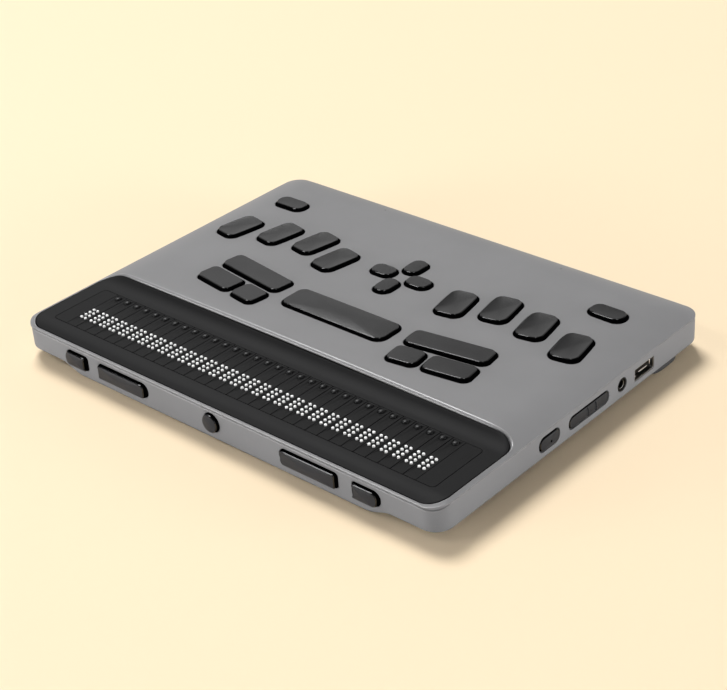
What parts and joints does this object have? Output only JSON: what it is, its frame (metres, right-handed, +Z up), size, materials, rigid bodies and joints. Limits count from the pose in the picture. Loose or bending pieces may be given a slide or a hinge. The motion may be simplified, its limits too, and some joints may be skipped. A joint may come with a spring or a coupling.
{
  "type": "braille notetaker",
  "caption": "Flat braille notetaker: braille line in a black bezel, rounded braille and command keys on a grey deck, thumb keys in front, ports on the sides.",
  "frame": {"origin": "on the table surface under the middle of the casing", "axes": "+X to the user's right, +Y away from the user, +Z up"},
  "size_m": [0.244, 0.1835, 0.0235],
  "materials": {
    "casing_plastic": "satin",
    "bezel_plastic": "matte",
    "key_plastic": "satin",
    "cell_plastic": "matte",
    "pin_plastic": "satin",
    "routing_plastic": "glossy",
    "module_plastic": "matte",
    "rubber": "matte",
    "board": "satin",
    "steel": "brushed",
    "port_plastic": "matte",
    "battery_wrap": "satin",
    "flex": "satin"
  },
  "bodies": {
    "casing": {"audio_jack": "port_plastic", "battery_pack": "battery_wrap", "case_screws": "steel", "cell_backplane": "board", "cell_caps": "cell_plastic", "cell_modules": "module_plastic", "display_bezel": "bezel_plastic", "edge_boards": "board", "flex_cables": "flex", "front_foot_pads": "rubber", "key_domes": "rubber", "keyboard_board": "board", "lower_case": "casing_plastic", "main_board": "board", "microphones": "steel", "processor_shield": "steel", "rear_feet": "rubber", "routing_switch_strip": "board", "speakers": "port_plastic", "strip_end_caps": "cell_plastic", "top_cover": "casing_plastic", "usb_a_port": "steel", "usb_c_ports": "steel"},
    "space_key_body": {"space_key": "key_plastic"},
    "dot_1_key_body": {"dot_1_key": "key_plastic"},
    "dot_2_key_body": {"dot_2_key": "key_plastic"},
    "dot_3_key_body": {"dot_3_key": "key_plastic"},
    "dot_4_key_body": {"dot_4_key": "key_plastic"},
    "dot_5_key_body": {"dot_5_key": "key_plastic"},
    "dot_6_key_body": {"dot_6_key": "key_plastic"},
    "dot_7_key_body": {"dot_7_key": "key_plastic"},
    "dot_8_key_body": {"dot_8_key": "key_plastic"},
    "left_function_key_body": {"left_function_key": "key_plastic"},
    "left_upper_command_key_body": {"left_upper_command_key": "key_plastic"},
    "left_outer_command_key_body": {"left_outer_command_key": "key_plastic"},
    "left_inner_command_key_body": {"left_inner_command_key": "key_plastic"},
    "right_function_key_body": {"right_function_key": "key_plastic"},
    "right_upper_command_key_body": {"right_upper_command_key": "key_plastic"},
    "right_outer_command_key_body": {"right_outer_command_key": "key_plastic"},
    "right_inner_command_key_body": {"right_inner_command_key": "key_plastic"},
    "arrow_up_key_body": {"arrow_up_key": "key_plastic"},
    "arrow_down_key_body": {"arrow_down_key": "key_plastic"},
    "arrow_left_key_body": {"arrow_left_key": "key_plastic"},
    "arrow_right_key_body": {"arrow_right_key": "key_plastic"},
    "home_key_body": {"home_key": "key_plastic"},
    "left_long_thumb_key_body": {"left_long_thumb_key": "key_plastic"},
    "left_short_thumb_key_body": {"left_short_thumb_key": "key_plastic"},
    "right_long_thumb_key_body": {"right_long_thumb_key": "key_plastic"},
    "right_short_thumb_key_body": {"right_short_thumb_key": "key_plastic"},
    "power_button_body": {"power_button": "key_plastic"},
    "volume_rocker_body": {"volume_rocker": "key_plastic"},
    "routing_keys_body": {"routing_keys": "routing_plastic"},
    "braille_pins_dot_1_body": {"braille_pins_dot_1": "pin_plastic"},
    "braille_pins_dot_2_body": {"braille_pins_dot_2": "pin_plastic"},
    "braille_pins_dot_3_body": {"braille_pins_dot_3": "pin_plastic"},
    "braille_pins_dot_4_body": {"braille_pins_dot_4": "pin_plastic"},
    "braille_pins_dot_5_body": {"braille_pins_dot_5": "pin_plastic"},
    "braille_pins_dot_6_body": {"braille_pins_dot_6": "pin_plastic"},
    "braille_pins_dot_7_body": {"braille_pins_dot_7": "pin_plastic"},
    "braille_pins_dot_8_body": {"braille_pins_dot_8": "pin_plastic"}
  },
  "joints": [
    {"name": "space_key_travel", "type": "slide", "parent": "casing", "child": "space_key_body", "axis": [0, 0, -1], "range_m": [0, 0.001], "stiffness_N_per_m": 400},
    {"name": "dot_1_key_travel", "type": "slide", "parent": "casing", "child": "dot_1_key_body", "axis": [0, 0, -1], "range_m": [0, 0.001], "stiffness_N_per_m": 400},
    {"name": "dot_2_key_travel", "type": "slide", "parent": "casing", "child": "dot_2_key_body", "axis": [0, 0, -1], "range_m": [0, 0.001], "stiffness_N_per_m": 400},
    {"name": "dot_3_key_travel", "type": "slide", "parent": "casing", "child": "dot_3_key_body", "axis": [0, 0, -1], "range_m": [0, 0.001], "stiffness_N_per_m": 400},
    {"name": "dot_4_key_travel", "type": "slide", "parent": "casing", "child": "dot_4_key_body", "axis": [0, 0, -1], "range_m": [0, 0.001], "stiffness_N_per_m": 400},
    {"name": "dot_5_key_travel", "type": "slide", "parent": "casing", "child": "dot_5_key_body", "axis": [0, 0, -1], "range_m": [0, 0.001], "stiffness_N_per_m": 400},
    {"name": "dot_6_key_travel", "type": "slide", "parent": "casing", "child": "dot_6_key_body", "axis": [0, 0, -1], "range_m": [0, 0.001], "stiffness_N_per_m": 400},
    {"name": "dot_7_key_travel", "type": "slide", "parent": "casing", "child": "dot_7_key_body", "axis": [0, 0, -1], "range_m": [0, 0.001], "stiffness_N_per_m": 400},
    {"name": "dot_8_key_travel", "type": "slide", "parent": "casing", "child": "dot_8_key_body", "axis": [0, 0, -1], "range_m": [0, 0.001], "stiffness_N_per_m": 400},
    {"name": "left_function_key_travel", "type": "slide", "parent": "casing", "child": "left_function_key_body", "axis": [0, 0, -1], "range_m": [0, 0.001], "stiffness_N_per_m": 400},
    {"name": "left_upper_command_key_travel", "type": "slide", "parent": "casing", "child": "left_upper_command_key_body", "axis": [0, 0, -1], "range_m": [0, 0.001], "stiffness_N_per_m": 400},
    {"name": "left_outer_command_key_travel", "type": "slide", "parent": "casing", "child": "left_outer_command_key_body", "axis": [0, 0, -1], "range_m": [0, 0.001], "stiffness_N_per_m": 400},
    {"name": "left_inner_command_key_travel", "type": "slide", "parent": "casing", "child": "left_inner_command_key_body", "axis": [0, 0, -1], "range_m": [0, 0.001], "stiffness_N_per_m": 400},
    {"name": "right_function_key_travel", "type": "slide", "parent": "casing", "child": "right_function_key_body", "axis": [0, 0, -1], "range_m": [0, 0.001], "stiffness_N_per_m": 400},
    {"name": "right_upper_command_key_travel", "type": "slide", "parent": "casing", "child": "right_upper_command_key_body", "axis": [0, 0, -1], "range_m": [0, 0.001], "stiffness_N_per_m": 400},
    {"name": "right_outer_command_key_travel", "type": "slide", "parent": "casing", "child": "right_outer_command_key_body", "axis": [0, 0, -1], "range_m": [0, 0.001], "stiffness_N_per_m": 400},
    {"name": "right_inner_command_key_travel", "type": "slide", "parent": "casing", "child": "right_inner_command_key_body", "axis": [0, 0, -1], "range_m": [0, 0.001], "stiffness_N_per_m": 400},
    {"name": "arrow_up_key_travel", "type": "slide", "parent": "casing", "child": "arrow_up_key_body", "axis": [0, 0, -1], "range_m": [0, 0.001], "stiffness_N_per_m": 400},
    {"name": "arrow_down_key_travel", "type": "slide", "parent": "casing", "child": "arrow_down_key_body", "axis": [0, 0, -1], "range_m": [0, 0.001], "stiffness_N_per_m": 400},
    {"name": "arrow_left_key_travel", "type": "slide", "parent": "casing", "child": "arrow_left_key_body", "axis": [0, 0, -1], "range_m": [0, 0.001], "stiffness_N_per_m": 400},
    {"name": "arrow_right_key_travel", "type": "slide", "parent": "casing", "child": "arrow_right_key_body", "axis": [0, 0, -1], "range_m": [0, 0.001], "stiffness_N_per_m": 400},
    {"name": "home_key_travel", "type": "slide", "parent": "casing", "child": "home_key_body", "axis": [0, 1, 0], "range_m": [0, 0.0009], "stiffness_N_per_m": 400},
    {"name": "left_long_thumb_key_travel", "type": "slide", "parent": "casing", "child": "left_long_thumb_key_body", "axis": [0, 1, 0], "range_m": [0, 0.0009], "stiffness_N_per_m": 400},
    {"name": "left_short_thumb_key_travel", "type": "slide", "parent": "casing", "child": "left_short_thumb_key_body", "axis": [0, 1, 0], "range_m": [0, 0.0009], "stiffness_N_per_m": 400},
    {"name": "right_long_thumb_key_travel", "type": "slide", "parent": "casing", "child": "right_long_thumb_key_body", "axis": [0, 1, 0], "range_m": [0, 0.0009], "stiffness_N_per_m": 400},
    {"name": "right_short_thumb_key_travel", "type": "slide", "parent": "casing", "child": "right_short_thumb_key_body", "axis": [0, 1, 0], "range_m": [0, 0.0009], "stiffness_N_per_m": 400},
    {"name": "power_button_travel", "type": "slide", "parent": "casing", "child": "power_button_body", "axis": [-1, 0, 0], "range_m": [0, 0.0006], "stiffness_N_per_m": 400},
    {"name": "volume_rocker_tilt", "type": "hinge", "parent": "casing", "child": "volume_rocker_body", "pos_m": [0.1192, 0.0056, 0.01075], "axis": [0, 0, 1], "range_deg": [-2, 2], "stiffness_Nm_per_rad": 0.2},
    {"name": "routing_keys_travel", "type": "slide", "parent": "casing", "child": "routing_keys_body", "axis": [0, 0, -1], "range_m": [0, 0.0004], "stiffness_N_per_m": 400},
    {"name": "braille_pins_dot_1_travel", "type": "slide", "parent": "casing", "child": "braille_pins_dot_1_body", "axis": [0, 0, -1], "range_m": [0, 0.0007], "stiffness_N_per_m": 300},
    {"name": "braille_pins_dot_2_travel", "type": "slide", "parent": "casing", "child": "braille_pins_dot_2_body", "axis": [0, 0, -1], "range_m": [0, 0.0007], "stiffness_N_per_m": 300},
    {"name": "braille_pins_dot_3_travel", "type": "slide", "parent": "casing", "child": "braille_pins_dot_3_body", "axis": [0, 0, -1], "range_m": [0, 0.0007], "stiffness_N_per_m": 300},
    {"name": "braille_pins_dot_4_travel", "type": "slide", "parent": "casing", "child": "braille_pins_dot_4_body", "axis": [0, 0, -1], "range_m": [0, 0.0007], "stiffness_N_per_m": 300},
    {"name": "braille_pins_dot_5_travel", "type": "slide", "parent": "casing", "child": "braille_pins_dot_5_body", "axis": [0, 0, -1], "range_m": [0, 0.0007], "stiffness_N_per_m": 300},
    {"name": "braille_pins_dot_6_travel", "type": "slide", "parent": "casing", "child": "braille_pins_dot_6_body", "axis": [0, 0, -1], "range_m": [0, 0.0007], "stiffness_N_per_m": 300},
    {"name": "braille_pins_dot_7_travel", "type": "slide", "parent": "casing", "child": "braille_pins_dot_7_body", "axis": [0, 0, -1], "range_m": [0, 0.0007], "stiffness_N_per_m": 300},
    {"name": "braille_pins_dot_8_travel", "type": "slide", "parent": "casing", "child": "braille_pins_dot_8_body", "axis": [0, 0, -1], "range_m": [0, 0.0007], "stiffness_N_per_m": 300}
  ]
}
